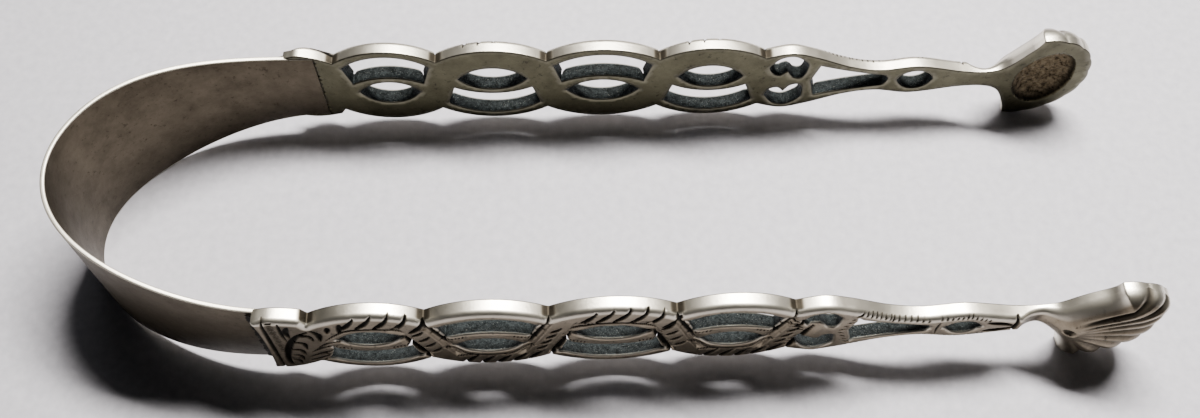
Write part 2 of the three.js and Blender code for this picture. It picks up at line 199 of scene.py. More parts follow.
# ---- Camera ----
LENS = 35.4
CAMERA_PLACE = (30.65, -73.74, 132.4)  # on the tongs' own axes
CAMERA_PITCH = math.radians(60.85)
CAMERA_YAW = math.radians(3.16)
CAMERA_ROLL = math.radians(1.61)
CAMERA_SHIFT = -0.0105


def make_camera():
    data = bpy.data.cameras.new("camera")
    data.lens = LENS
    data.sensor_width = 36
    data.shift_y = CAMERA_SHIFT
    data.clip_start = 0.005
    ahead = Vector((
        math.cos(CAMERA_PITCH) * math.sin(CAMERA_YAW),
        math.cos(CAMERA_PITCH) * math.cos(CAMERA_YAW),
        -math.sin(CAMERA_PITCH),
    ))
    level = Vector((math.cos(CAMERA_YAW), -math.sin(CAMERA_YAW), 0))
    above = level.cross(ahead)
    right = math.cos(CAMERA_ROLL) * level + math.sin(CAMERA_ROLL) * above
    up = -math.sin(CAMERA_ROLL) * level + math.cos(CAMERA_ROLL) * above
    turn = Matrix((right, up, -ahead)).transposed()
    camera = bpy.data.objects.new("camera", data)
    bpy.context.scene.collection.objects.link(camera)
    own_turn = OWN.to_3x3().normalized()
    camera.matrix_world = Matrix.Translation(OWN @ Vector(CAMERA_PLACE)) @ (own_turn @ turn).to_4x4()
    bpy.context.scene.camera = camera


make_camera()


# ---- Outlines in s and v ----
EDGE_STEP = 0.2


def along(start, end):
    """Points on the straight line from start towards end, without the end."""
    start, end = np.array(start, float), np.array(end, float)
    count = max(1, round(np.hypot(*(end - start)) / EDGE_STEP))
    return [tuple(start + (end - start) * i / count) for i in range(count)]


def arc(start, middle, end):
    """Points on the circular arc from start through middle towards end, without the end."""
    a, b, c = (complex(*p) for p in (start, middle, end))
    w = (c - a) / (b - a)
    centre = a - (a - b) * (w - abs(w) ** 2) / 2j / w.imag
    spoke = a - centre
    whole = np.angle((c - centre) / spoke) % math.tau
    if np.angle((b - centre) / spoke) % math.tau > whole:
        whole -= math.tau
    count = max(2, round(abs(whole * spoke) / EDGE_STEP))
    turned = [centre + spoke * np.exp(1j * whole * i / count) for i in range(count)]
    return [(p.real, p.imag) for p in turned]


def spline(points, step=EDGE_STEP):
    """Points on the smooth curve through all the given points, without the last."""
    p = np.array(points, float)
    p = np.vstack([p[0], p, p[-1]])
    out = []
    for i in range(1, len(p) - 2):
        count = max(2, round(np.hypot(*(p[i + 1] - p[i])) / step))
        t = np.arange(count)[:, None] / count
        v0, v1 = (p[i + 1] - p[i - 1]) / 2, (p[i + 2] - p[i]) / 2
        cubic = (2 * p[i] - 2 * p[i + 1] + v0 + v1) * t**3
        square = (-3 * p[i] + 3 * p[i + 1] - 2 * v0 - v1) * t**2
        out += [tuple(q) for q in cubic + square + v0 * t + p[i]]
    return out


def rim_point(share, rise):
    """A point of the shell's edge, by its share of the way from the upper corner to the lower."""
    angle = SHELL_CORNER_ANGLE * (1 - 2 * share)
    reach = SHELL_RADIUS + rise
    return SHELL_CENTRE + reach * math.cos(angle), reach * math.sin(angle)


def arm_outline():
    """The arm's edge, anticlockwise from the lower corner of its root."""
    corner = rim_point(0, 0)
    upper = [
        (HEART_START, NOTCH_HALF_WIDTH),
        (HEART_START + HEART_BULGE_AT, HEART_HALF_WIDTH),
        (HEART_END, HEART_END_HALF_WIDTH),
        (HEART_END + 0.55 * TAPER_LENGTH, 0.25 * HEART_END_HALF_WIDTH + 0.75 * TAPER_HALF_WIDTH),
        (WAIST, TAPER_HALF_WIDTH),
        ((LEAF_START + LEAF_END) / 2, LEAF_HALF_WIDTH + LEAF_RAIL),
        (LEAF_END + 0.5 * STEM_LENGTH, STEM_HALF_WIDTH + 0.15 * LEAF_RAIL),
        (STEM_WAIST, STEM_HALF_WIDTH),
        (corner[0] - SHOULDER_RUN, SHOULDER_FOOT),
        (corner[0] - 0.28 * SHOULDER_RUN, 0.4 * SHOULDER_FOOT + 0.6 * corner[1]),
        corner,
    ]
    wide = ROOT_HALF_WIDTH
    root_end = [(-ROOT_LENGTH, wide - 0.6), (-5.4, wide - 0.35)]
    root_corner = (-0.6, wide - 0.8)
    root = spline([*root_end, (-4, wide - 0.15), (REBATE_END, wide - 0.35), root_corner])
    root += along(root_corner, (0, NOTCH_HALF_WIDTH))
    root_low = spline([
        *root_end,
        (-4.2, wide - 0.1),
        (REBATE_END, wide - 0.6),
        (-0.9, wide - 1.3),
        (0, NOTCH_HALF_WIDTH),
    ])
    points = []
    for a, b in zip(NOTCHES, NOTCHES[1:]):
        points += arc((a, NOTCH_HALF_WIDTH), ((a + b) / 2, LOBE_HALF_WIDTH), (b, NOTCH_HALF_WIDTH))
    points += spline(upper)
    half = root + points + [corner]
    lower_half = root_low + points + [corner]
    shell = []
    for i in range(SCALLOPS):
        ends = rim_point(i / SCALLOPS, 0), rim_point((i + 1) / SCALLOPS, 0)
        shell += arc(ends[0], rim_point((i + 0.5) / SCALLOPS, SCALLOP_RISE), ends[1])
    lower = [(s, -v) for s, v in reversed(lower_half)]
    end = along(lower[-1], half[0])
    return (half + shell[1:] + lower[:-1] + end)[::-1]


def lobe_openings(a, b, side):
    """The slot and the lens of a lobe, clockwise. side is +1 where the double ribbon runs at +v."""
    mid = (a + b) / 2
    outer = NOTCH_HALF_WIDTH - OUTER_RAIL
    inner = RAIL_HEIGHT - RAIL_RISE
    high = (a + SLOT_OUTER_INSET, outer), (b - SLOT_OUTER_INSET, outer)
    low = (a + SLOT_INNER_INSET, inner), (b - SLOT_INNER_INSET, inner)
    slot = arc(high[0], (mid, LOBE_HALF_WIDTH - OUTER_RAIL), high[1])
    slot += along(high[1], low[1])
    slot += arc(low[1], (mid, RAIL_HEIGHT), low[0])
    slot += along(low[0], high[0])
    left, right = (a + LENS_INSET, -LENS_POINT), (b - LENS_INSET, -LENS_POINT)
    lens = arc(left, (mid, RAIL_HEIGHT - INNER_RAIL), right)
    lens += arc(right, (mid, PLAIN_RIBBON - LOBE_HALF_WIDTH), left)
    return [[(s, side * v) for s, v in loop] for loop in (slot, lens)]


def kidney():
    """The heart's upper opening, with its hollow side towards the middle line."""
    outer = HEART_HALF_WIDTH - HEART_RAIL
    far = HEART_LENGTH - HEART_RAIL
    start = (HEART_RAIL, 0.6 * outer)
    points = [
        start,
        (0.6 * HEART_BULGE_AT, 0.92 * outer),
        (1.15 * HEART_BULGE_AT, outer),
        (0.97 * far, 0.74 * outer),
        (far, 0.46 * outer),
        (0.95 * far, HEART_WEB + 0.45),
        (0.83 * far, HEART_WEB),
        (0.68 * far, HEART_WEB + 0.35),
        (0.6 * far, HEART_WEB + 1.1),
        (0.55 * far, HEART_WEB + 1.6),
        (0.5 * far, HEART_WEB + 1.25),
        (0.4 * far, HEART_WEB + 0.75),
        (0.26 * far, HEART_WEB + 0.95),
        (0.16 * far, HEART_WEB + 1.7),
        start,
    ]
    return [(HEART_START + s, v) for s, v in spline(points)]


def long_opening():
    start = HEART_END + TAPER_WALL
    half_start = HEART_END_HALF_WIDTH - 1.7 * TAPER_RAIL
    half_end = TAPER_HALF_WIDTH - TAPER_RAIL
    turn = OPENING_END - half_end
    middle = ((start + OPENING_END) / 2, 0.4 * half_start + 0.6 * half_end - 0.12)
    upper = along((HEART_END, 0), (start, half_start))
    upper += arc((start, half_start), middle, (turn, half_end))
    upper += arc((turn, half_end), (OPENING_END - 0.29 * half_end, 0.71 * half_end), (OPENING_END, 0))
    return upper + [(OPENING_END, 0)] + [(s, -v) for s, v in reversed(upper[1:])]


def leaf_opening():
    middle = (LEAF_START + LEAF_END) / 2
    points = arc((LEAF_START, 0), (middle, LEAF_HALF_WIDTH), (LEAF_END, 0))
    return points + arc((LEAF_END, 0), (middle, -LEAF_HALF_WIDTH), (LEAF_START, 0))


def signed_area(loop):
    p = np.array(loop)
    q = np.roll(p, -1, axis=0)
    return 0.5 * np.sum(p[:, 0] * q[:, 1] - q[:, 0] * p[:, 1])


def arm_loops():
    """The outline anticlockwise, then the openings clockwise, so that metal is always on the left."""
    openings = []
    for i, (a, b) in enumerate(zip(NOTCHES, NOTCHES[1:])):
        openings += lobe_openings(a, b, 1 if i % 2 else -1)
    openings += [kidney(), [(s, -v) for s, v in kidney()], long_opening(), leaf_opening()]
    outline = arm_outline()
    outline = outline if signed_area(outline) > 0 else outline[::-1]
    openings = [loop if signed_area(loop) < 0 else loop[::-1] for loop in openings]
    return [np.array(loop) for loop in [outline, *openings]]


def left_of(ahead):
    """Unit vectors to the left of the directions ahead."""
    return np.column_stack([-ahead[:, 1], ahead[:, 0]]) / np.hypot(*ahead.T)[:, None]


def drafted(loop):
    """An opening's edge on the outer face, where the casting's draft has closed it in."""
    before, after = loop - np.roll(loop, 1, axis=0), np.roll(loop, -1, axis=0) - loop
    lengths = np.hypot(*before.T)
    crossed = before[:, 0] * after[:, 1] - before[:, 1] * after[:, 0]
    turn = np.abs(crossed / (lengths * np.hypot(*after.T)))
    run = np.cumsum(lengths)
    corners = run[turn > 0.5]
    draft = np.full(len(loop), OPENING_DRAFT)
    if len(corners):
        apart = np.abs(run[:, None] - corners)
        draft = OPENING_DRAFT * smooth(np.minimum(apart, run[-1] - apart).min(1) / 0.8)
    return loop - left_of(before + after) * draft[:, None]


# ---- Filling an outline with triangles ----
def nearest_edge(loops):
    """A function that gives points' distances to the nearest edge, and that edge's loop number."""
    dense, owner = [], []
    for k, loop in enumerate(loops):
        following = np.roll(loop, -1, axis=0)
        for share in np.linspace(0, 1, 4, endpoint=False):
            dense.append(loop + (following - loop) * share)
            owner += [k] * len(loop)
    dense = np.vstack(dense)
    tree = kdtree.KDTree(len(dense))
    for i, (s, v) in enumerate(dense):
        tree.insert((s, v, 0), i)
    tree.balance()

    def measure(points):
        found = [tree.find((s, v, 0)) for s, v in points]
        return np.array([f[2] for f in found]), np.array([owner[f[1]] for f in found])

    return measure


def inside(loops, points):
    """Whether each point is inside the loops, counted even-odd."""
    starts = np.vstack(loops)
    ends = np.vstack([np.roll(loop, -1, axis=0) for loop in loops])
    result = np.zeros(len(points), bool)
    for first in range(0, len(points), 4000):
        s, v = points[first:first + 4000].T[:, :, None]
        crosses = (starts[:, 1] > v) != (ends[:, 1] > v)
        with np.errstate(divide="ignore", invalid="ignore"):
            at = starts[:, 0] + (v - starts[:, 1]) * (ends[:, 0] - starts[:, 0]) / (ends[:, 1] - starts[:, 1])
        result[first:first + 4000] = (crosses & (s < at)).sum(1) % 2 == 1
    return result


def filled(loops, rings, pitch, measure, extra=()):
    """Points and triangles that fill the loops: rings of points beside each edge, then a grid."""
    edge = np.vstack(loops)
    points = [edge]
    for distance in rings:
        for loop in loops:
            ahead = np.roll(loop, -1, axis=0) - np.roll(loop, 1, axis=0)
            moved = loop + left_of(ahead) * distance
            points.append(moved[measure(moved)[0] > 0.9 * distance])
    low, high = edge.min(0), edge.max(0)
    rows = np.arange(low[1], high[1], pitch * math.sqrt(0.75))
    grid = []
    for i, v in enumerate(rows):
        row = np.arange(low[0] + pitch / 2 * (i % 2), high[0], pitch)
        grid.append(np.column_stack([row, np.full_like(row, v)]))
    grid = np.vstack(grid)
    grid = grid[inside(loops, grid)]
    grid = grid[measure(grid)[0] > max(rings) + 0.5 * pitch]
    points += [grid, *extra]
    points = np.vstack(points)
    edges, first = [], 0
    for loop in loops:
        count = len(loop)
        edges += [(first + i, first + (i + 1) % count) for i in range(count)]
        first += count
    coords = [Vector(p) for p in points]
    _, _, faces, ids, _, _ = geometry.delaunay_2d_cdt(coords, edges, [], 0, 1e-6, True)
    old = np.array([i[0] for i in ids])
    faces = old[np.array(faces)]
    on_edge = (faces < len(edge)).all(1)
    keep = ~on_edge
    keep[on_edge] = inside(loops, points[faces[on_edge]].mean(1))
    return points, faces[keep]


# ---- The casting's relief. A cut is its path, its half width and its depth ----
LINE_HALF_WIDTH = 0.22
LINE_DEPTH = 0.3
FEATHER_HALF_WIDTH = 0.38
FEATHER_DEPTH = 0.4
FEATHER_PITCH = 2
TICK_HALF_WIDTH = 0.13
TICK_DEPTH = 0.12
UNDER_HALF_WIDTH = 0.36
UNDER_DEPTH = 0.45  # of the double ribbon beside the plain one that passes over it
COMMA_HALF_WIDTH = 0.3
CUT_EDGE = 0.42  # width of the worn edge round an opening
OUTLINE_EDGE = 0.85  # width of the rounded edge round the outline


def curve_through(points, step=0.12):
    """A smooth line through the points, ends included, and each place's share of its length."""
    line = np.array(spline(points, step) + [points[-1]])
    run = np.concatenate([[0], np.cumsum(np.hypot(*np.diff(line, axis=0).T))])
    return line, run / run[-1]


def carved(points, cuts):
    """How deep the graver's cuts go at each point, and how far each point is inside a cut, 0 to 1."""
    deep, stain = np.zeros(len(points)), np.zeros(len(points))
    for path, half_width, depth in cuts:
        line, share = curve_through(path)
        width = half_width * (0.35 + 0.65 * np.sin(math.pi * share**0.8))
        low, high = line.min(0) - 2 * half_width, line.max(0) + 2 * half_width
        near = np.flatnonzero(((points > low) & (points < high)).all(1))
        if not len(near):
            continue
        apart = np.hypot(*(points[near][:, None] - line).transpose(2, 0, 1))
        reach = (apart / width).min(1)
        deep[near] = np.maximum(deep[near], depth * np.clip(1 - reach**2, 0, 1))
        stain[near] = np.maximum(stain[near], smooth((1.35 - reach) / 0.6))
    return deep, stain


def between(start, end, share):
    """The point at that share of the way from start to end."""
    start, end = np.array([start, end], float)
    return start + (end - start) * share


def tick_row(start, end, count, lean, length=0.5):
    """A row of fine punched ticks."""
    half = 0.5 * length * np.array([math.cos(lean), math.sin(lean)])
    places = [between(start, end, i / (count - 1)) for i in range(count)]
    return [([tuple(p - half), tuple(p + half)], TICK_HALF_WIDTH, TICK_DEPTH) for p in places]


def lobe_cuts(index):
    """Feather cuts, lining and ticks of a lobe's ribbons."""
    a, b = NOTCHES[index], NOTCHES[index + 1]
    mid, side = (a + b) / 2, -1 if index % 2 else 1
    cuts = []
    count = int((b - a - 4.6) / FEATHER_PITCH)
    for i in range(count + 1):
        s = a + 3.9 + i * FEATHER_PITCH
        bow = 1 - ((s + 0.6 - mid) / (b - a) * 2) ** 2
        outer = NOTCH_HALF_WIDTH + (LOBE_HALF_WIDTH - NOTCH_HALF_WIDTH) * bow
        inner = LENS_POINT + (LOBE_HALF_WIDTH - PLAIN_RIBBON - LENS_POINT) * bow
        if side > 0:
            path = [(s - 0.3, inner + 0.85), (s + 0.7, 0.5 * inner + 0.5 * outer), (s + 1.7, outer - 0.3)]
        else:
            path = [(s - 0.2, -outer + 0.1), (s + 0.8, -0.4 * inner - 0.6 * outer), (s + 1.9, -inner - 1)]
        cuts.append((path, FEATHER_HALF_WIDTH, FEATHER_DEPTH))
    lining = [
        (a + LENS_INSET - 1, side * (LENS_POINT + 0.1)),
        (a + 0.3 * (b - a), side * (LOBE_HALF_WIDTH - PLAIN_RIBBON + 0.1)),
        (mid, side * (LOBE_HALF_WIDTH - PLAIN_RIBBON + 0.55)),
        (b - 0.3 * (b - a), side * (LOBE_HALF_WIDTH - PLAIN_RIBBON + 0.1)),
        (b - LENS_INSET + 1, side * (LENS_POINT + 0.1)),
    ]
    cuts.append((lining, LINE_HALF_WIDTH, LINE_DEPTH))
    inner = -side * (RAIL_HEIGHT - RAIL_RISE + 0.3)
    for s, way in ((a + SLOT_INNER_INSET, 1), (b - SLOT_INNER_INSET, -1)):
        start = (s - 1.4 * way, inner - 1.5 * side)
        cuts += tick_row((s - 0.4 * way, inner + 0.55 * side), (s + 2.2 * way, inner - 0.3 * side), 7, 1.35)
        cuts.append(([start, (s - 0.3 * way, inner - 1.9 * side)], LINE_HALF_WIDTH, LINE_DEPTH))
    return cuts


def crossing_cuts(index):
    """The edges of the plain ribbon where it passes over, and the commas on it."""
    b, side = NOTCHES[index], 1 if index % 2 else -1
    cuts = []
    for shift in (-LENS_INSET, 0):
        start = (b + shift, side * (LENS_POINT if shift else NOTCH_HALF_WIDTH - 0.1))
        end = (b + shift + LENS_INSET, -side * (NOTCH_HALF_WIDTH - 0.1 if shift else LENS_POINT))
        cuts.append(([start, tuple(between(start, end, 0.5)), end], UNDER_HALF_WIDTH, UNDER_DEPTH))
    for i in range(4):
        v = side * (2.5 - 1.65 * i)
        s = b - side * 0.36 * v
        comma = [(s - 0.75, v - 0.55), (s + 0.1, v + 0.05), (s + 0.6, v + 0.75)]
        cuts.append((comma, COMMA_HALF_WIDTH, FEATHER_DEPTH))
    ticks = [(b + 3.2, -side * 4.6), (b + 5, -side * 4.2)]
    return cuts + tick_row(*ticks, 6, 1.1)


def root_cuts():
    """The moulded root: its two cross grooves and hatched band, the C scroll, its leaf and its plume."""
    wide = ROOT_HALF_WIDTH
    scroll = [(-0.2, 4.1), (-1.6, 2.9), (-2.7, 0.9), (-3.5, -1.6), (-3.9, -4.0), (-3.7, -5.9), (-2.9, -6.5)]
    cuts = [
        ([(-4.9, wide), (-4.95, 0), (-4.9, -wide)], 0.26, 0.34),
        ([(-6.1, wide - 0.9), (-6.1, 0), (-6.1, -wide + 0.9)], 0.5, 0.55),
        ([(-3.1, wide - 0.8), (-3.15, 3.2), (-3.0, 1.6)], 0.24, 0.3),
        ([(-2.2, 5.6), (-2.6, 4.2), (-2.5, 2.6)], 0.4, 0.34),
        (scroll, 0.46, 0.5),
        ([(-1.5, 2.9), (-0.3, 2.9), (0.1, 1.5)], 0.34, 0.42),
        ([(-2.2, 1.2), (-1.2, 0.7), (-1.1, -0.9)], 0.34, 0.42),
        ([(-2.9, -0.9), (-1.9, -1.3), (-1.6, -2.7)], 0.32, 0.4),
        ([(-3.2, -2.6), (-2.3, -3.0), (-2.1, -4.3)], 0.3, 0.38),
        ([(-3.4, -4.0), (-2.7, -4.5), (-2.6, -5.6)], 0.28, 0.36),
        ([(0.3, 4.4), (1.0, 3.2), (0.9, 1.4)], 0.42, 0.42),
        ([(2.4, 5.2), (2.1, 3.6)], 0.36, 0.4),
        ([(3.9, 6.0), (3.5, 3.4)], 0.34, 0.4),
        ([(0.4, -0.6), (1.7, 0.6), (3.1, 0.9)], 0.2, 0.28),
        ([(-0.6, -1.9), (1.0, -0.6), (2.9, -0.1)], 0.22, 0.3),
        ([(-1.2, -3.4), (0.9, -2.1), (2.8, -1.2)], 0.24, 0.32),
        ([(-1.5, -4.6), (0.4, -3.6), (2.2, -2.3)], 0.24, 0.32),
        ([(-2.2, -5.7), (-0.5, -4.9), (1.2, -3.9)], 0.24, 0.32),
        ([(-2.9, -6.6), (-1.3, -5.9), (0.5, -5.1)], 0.22, 0.3),
    ]
    return cuts + tick_row((-4.1, wide - 0.6), (-3.9, -1.5), 22, 0.05, length=0.8)


def grip_end_cuts():
    """The heart's leaf strokes and eyelet, the tick borders of the taper and the leaf, and the terminal."""
    turns = np.linspace(0, 6.1, 9)
    eyelet = [(HEART_START + 0.9 + 0.55 * math.cos(turn), -1.9 + 0.55 * math.sin(turn)) for turn in turns]
    cuts = [(eyelet, 0.14, 0.22)]
    for side in (1, -1):
        for i in range(4):
            s, v = HEART_START + 0.5 + 0.35 * i, side * (3.4 - 0.85 * i)
            cuts.append(([(s - 1.3, v + 0.1 * side), (s - 0.4, v), (s + 0.1, v - 0.5 * side)], 0.16, 0.24))
        for i in range(5):
            s = HEART_END - 0.9 + 0.35 * i
            start = (s, side * (0.3 + 0.95 * i))
            cuts.append(([start, (s + 0.7, start[1] + 0.35 * side)], 0.15, 0.22))
        rows = (
            ((HEART_END + 1.2, HEART_END_HALF_WIDTH - 0.95), (HEART_END + 0.52 * TAPER_LENGTH, 2.95), 7),
            ((HEART_END + 0.56 * TAPER_LENGTH, 2.75), (WAIST + 0.4, TAPER_HALF_WIDTH - 0.4), 7),
            ((OPENING_END + 0.7, 2.3), (LEAF_START + 0.5 * LEAF_LENGTH, 2.72), 6),
            ((LEAF_START + 0.6 * LEAF_LENGTH, 2.65), (LEAF_END + 0.4, 1.75), 5),
        )
        for (s0, v0), (s1, v1), count in rows:
            cuts += tick_row((s0, side * v0), (s1, side * v1), count, side * 1.25, length=0.55)
    middle = LEAF_END + 0.5 * STEM_LENGTH
    for side in (1, -1):
        terminal = [(LEAF_END + 0.4, side * 1.1), (middle - 1.2, side * 0.75), (middle, side * 0.2)]
        cuts.append((terminal, 0.42, 0.6))
    return cuts + [
        ([(OPENING_END + 0.65, 1.6), (OPENING_END + 0.55, 0), (OPENING_END + 0.65, -1.6)], 0.16, 0.25),
        ([(middle + 0.25, 1.7), (middle + 0.3, 0), (middle + 0.25, -1.7)], 0.3, 0.5),
    ]


def all_cuts():
    cuts = root_cuts() + grip_end_cuts()
    for i in range(len(LOBE_LENGTHS)):
        cuts += lobe_cuts(i)
    for i in range(1, len(LOBE_LENGTHS) + 1):
        cuts += crossing_cuts(i)
    return cuts


def under_sink(points):
    """How far the double ribbon dips where it goes under the plain one, 0 to 1."""
    sink = np.zeros(len(points))
    s, v = points.T
    for index in range(1, len(LOBE_LENGTHS) + 1):
        b, side = NOTCHES[index], 1 if index % 2 else -1
        slope = LENS_INSET / (LENS_POINT + NOTCH_HALF_WIDTH)
        middle = b - side * v * slope
        beyond = np.abs(s - middle) - 1.25
        dip = smooth(beyond / 0.25) * (1 - smooth((beyond - 0.2) / 1.9))
        sink = np.maximum(sink, dip * (1 - smooth((np.abs(v) - 3.6) / 1.2)))
    return sink


SHELL_RISE = (STEM_WAIST - 0.3, STEM_WAIST + 4.2)  # where the neck swells into the shell
SCOOP_RADIUS = 4
FLUTE_DEPTH = 0.52
FLUTE_FOOT = 0.2  # half width at the umbo
FLUTE_SPREAD = 0.085  # gained with each mm from the umbo


def flutes(points):
    """Depth and stain of the shell's grooves, which fan out from its umbo."""
    s, v = points.T
    radius = np.hypot(s - UMBO, v)
    angle = np.arctan2(v, s - UMBO)
    deep, stain = np.zeros(len(points)), np.zeros(len(points))
    for i in range(1, SCALLOPS):
        edge = rim_point(i / SCALLOPS, 0)
        turn = math.atan2(edge[1], edge[0] - UMBO)
        apart = radius * np.abs(np.sin(angle - turn)) + 9 * (np.cos(angle - turn) < 0)
        width = FLUTE_FOOT + FLUTE_SPREAD * radius
        share = apart / width
        grow = smooth((radius - 1.6) / 5)
        deep = np.maximum(deep, FLUTE_DEPTH * grow * np.clip(1 - share, 0, 1) ** 1.15)
        dirt = 0.9 if i < 3 else 0.4
        stain = np.maximum(stain, dirt * smooth((radius - 1.4) / 2.6) * smooth((0.95 - share) / 0.8))
    pit = smooth((0.75 - np.hypot((s - UMBO - 0.5) / 1.1, v)) / 0.35)
    return deep + 0.55 * pit, np.maximum(stain, pit)


def outer_height(points, apart, on_rim, cuts):
    """n of the outer face, and its stain and wear, from 0 to 1; wear is polish with a painted highlight.
    on_rim is 1 beside the outline.
    """
    s, v = points.T
    flat = ARM_THICKNESS - UNDER_DEPTH * 0.8 * under_sink(points)
    scoop = NECK_THICKNESS + SCOOP_RADIUS - np.sqrt(np.clip(SCOOP_RADIUS**2 - (s - STEM_WAIST) ** 2, 1, None))
    flat = np.where(np.abs(s - STEM_WAIST) < 3, np.minimum(flat, scoop), flat)
    rim = RIM_THICKNESS + (TIP_THICKNESS - RIM_THICKNESS) * smooth((s - SHELL_CENTRE) / SHELL_RADIUS)
    swell = np.sqrt(1 - (1 - np.clip(apart / SHELL_SWELL, 0, 1)) ** 2)
    dome = rim + (SHELL_DEPTH - rim) * swell
    groove, groove_stain = flutes(points)
    rise = smooth((s - SHELL_RISE[0]) / (SHELL_RISE[1] - SHELL_RISE[0]))
    fade = np.maximum(0.3 + 0.7 * smooth(apart / 0.9), 0.8 * (v > 2))
    groove, groove_stain = groove * fade, groove_stain * fade
    height = flat + (dome - groove - flat) * rise
    deep, stain = carved(points, cuts)
    height -= deep
    radius = CUT_EDGE + (OUTLINE_EDGE - CUT_EDGE) * on_rim * smooth((s + ROOT_LENGTH) / 1.2)
    root_dirt = smooth((2.6 - s) / 2) * smooth((s + 5.4) / 0.3) * smooth((apart - 0.5) / 0.5)
    stain = np.maximum(stain, 0.45 * root_dirt)
    round_off = np.clip(1 - apart / radius, 0, 1)
    height -= 0.8 * radius * (1 - np.sqrt(1 - round_off**2)) * (1 - rise)
    stain = np.maximum(stain, groove_stain * rise)
    # Bright edges round the outline and the openings: polished metal with a painted highlight.
    wear_and_highlight = np.clip(1 - apart / (0.2 + 0.65 * on_rim), 0, 1) * (1 - stain) * (0.7 + 0.3 * on_rim)
    wear_and_highlight *= 1 - (1 - smooth((s + 5.6) / 0.6)) * (np.abs(v) < ROOT_HALF_WIDTH - 0.9)
    return np.maximum(height, 0.4), stain, wear_and_highlight


def dish_share(points):
    """Distance from the dish's centre, 1 at its rim."""
    s, v = points.T
    return np.hypot((s - SHELL_CENTRE - DISH_CENTRE) / DISH_HALF_LENGTH, v / DISH_HALF_WIDTH)


def inner_height(points, apart):
    """n of the inner face: the rebate for the bow's end, the sunk dish of the shell, the worn edge."""
    share = dish_share(points)
    bowl = DISH_DEPTH * np.sqrt(np.clip(1 - share**2, 0, 1))
    angle = np.arctan2(points[:, 1], points[:, 0] - UMBO)
    ribs = 0.17 * np.sin(angle * 13) + 0.08 * np.sin(5 * points[:, 0] + 3 * points[:, 1])
    bowl += ribs * smooth((1 - share) / 0.3)
    worn = 0.09 * np.clip(1 - apart / 0.14, 0, 1) ** 2
    under = (points[:, 0] < REBATE_END) & (np.abs(points[:, 1]) < REBATE_HALF_WIDTH)
    lap = np.where(under, REBATE_DEPTH, 0)
    return np.maximum(lap, np.maximum(bowl, worn))


def notch_shade(points):
    """How dark an edge point is, 0 to 1: painted shade deep in a notch between two lobes, or darkening on the
    root's end.
    """
    s, v = points.T
    near = np.min([np.abs(s - notch) for notch in NOTCHES], axis=0)
    notch = 0.95 * smooth((1.15 - near) / 0.6) * (np.abs(v) > 0.8 * NOTCH_HALF_WIDTH)
    return np.maximum(notch, smooth((-ROOT_LENGTH + 0.3 - s) / 0.25) * (np.abs(v) < ROOT_HALF_WIDTH - 0.75))


OUTER_PITCH = 0.135  # between the outer face's grid points
OUTER_RINGS = (0.09, 0.24)
INNER_PITCH = 0.55
INNER_RINGS = (0.14,)
REBATE_STEP = 0.02  # half the width of the step at the rebate's edge
WALL_LEVELS = (0.08, 0.35, 0.65, 0.92)  # shares of the way from the inner face to the outer
DISH_RINGS = (  # each ring's size as a share of the dish, and how many places it steps on between points
    (1.03, 1), (1, 1), (0.985, 1), (0.96, 1), (0.92, 1), (0.86, 1), (0.78, 1),
    (0.69, 1), (0.6, 1), (0.5, 2), (0.4, 2), (0.3, 3), (0.2, 5), (0.1, 10),
)


def dish_points():
    """Rings of points in the shell's dish, closest together at its rim."""
    turns = np.linspace(0, math.tau, 120, endpoint=False)
    return np.vstack([
        np.column_stack([
            SHELL_CENTRE + DISH_CENTRE + share * DISH_HALF_LENGTH * np.cos(turns[::skip]),
            share * DISH_HALF_WIDTH * np.sin(turns[::skip]),
        ])
        for share, skip in DISH_RINGS
    ])


def rebate_points():
    """Points on both sides of the step round the rebate for the bow's end."""
    rows = np.linspace(-REBATE_HALF_WIDTH, REBATE_HALF_WIDTH, 60)
    columns = np.linspace(-ROOT_LENGTH + 0.16, REBATE_END, 40)
    steps = (-REBATE_STEP, REBATE_STEP)
    points = [np.column_stack([np.full_like(rows, REBATE_END + step), rows]) for step in steps]
    for step in steps:
        for edge in (-1, 1):
            v = edge * (REBATE_HALF_WIDTH + step)
            points.append(np.column_stack([columns, np.full_like(columns, v)]))
    return np.vstack(points)


